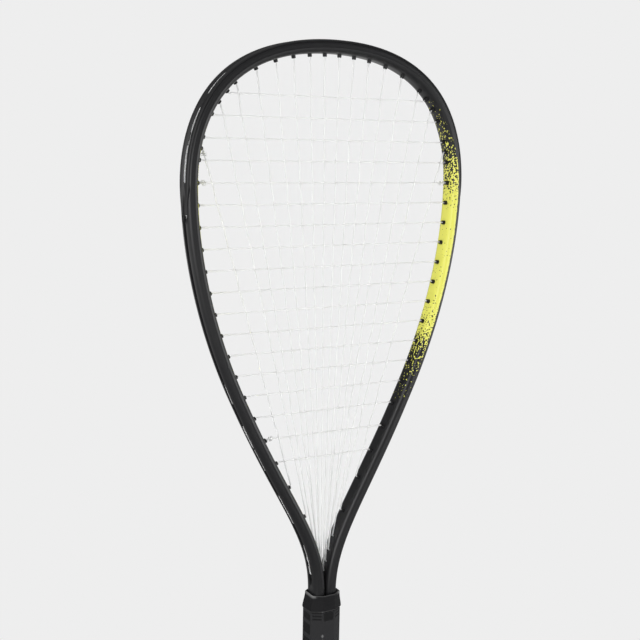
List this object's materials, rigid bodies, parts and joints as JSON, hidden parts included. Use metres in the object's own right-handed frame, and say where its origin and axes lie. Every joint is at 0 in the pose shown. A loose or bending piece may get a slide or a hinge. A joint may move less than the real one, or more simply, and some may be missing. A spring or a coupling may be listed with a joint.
{
  "type": "racketball racket",
  "caption": "Strung racketball racket with a teardrop hairpin frame, crown bumper, grommet strips and an octagonal rubber grip with a collar and butt cap.",
  "frame": {"origin": "middle of the butt cap's flat end face", "axes": "+Z from the butt up to the crown, +X across the head, +Y through the thickness, towards the back hitting face"},
  "size_m": [0.2606, 0.0328, 0.685],
  "materials": {
    "black_paint": "satin black with yellow flanks inside the hoop",
    "black_plastic": "moulded black",
    "clear_nylon": "glossy, milky clear",
    "black_rubber": "matt black",
    "grey_foam": "dull dark grey foam"
  },
  "bodies": {
    "root": {"frame": "black_paint", "crown_bumper": "black_plastic", "left_grommet_strip": "black_plastic", "right_grommet_strip": "black_plastic", "left_throat_strip": "black_plastic", "right_throat_strip": "black_plastic", "main_string": "clear_nylon", "cross_string": "clear_nylon", "front_pallet": "grey_foam", "back_pallet": "grey_foam", "rubber_grip": "black_rubber", "grip_collar": "black_rubber", "butt_cap": "black_plastic"}
  },
  "joints": []
}
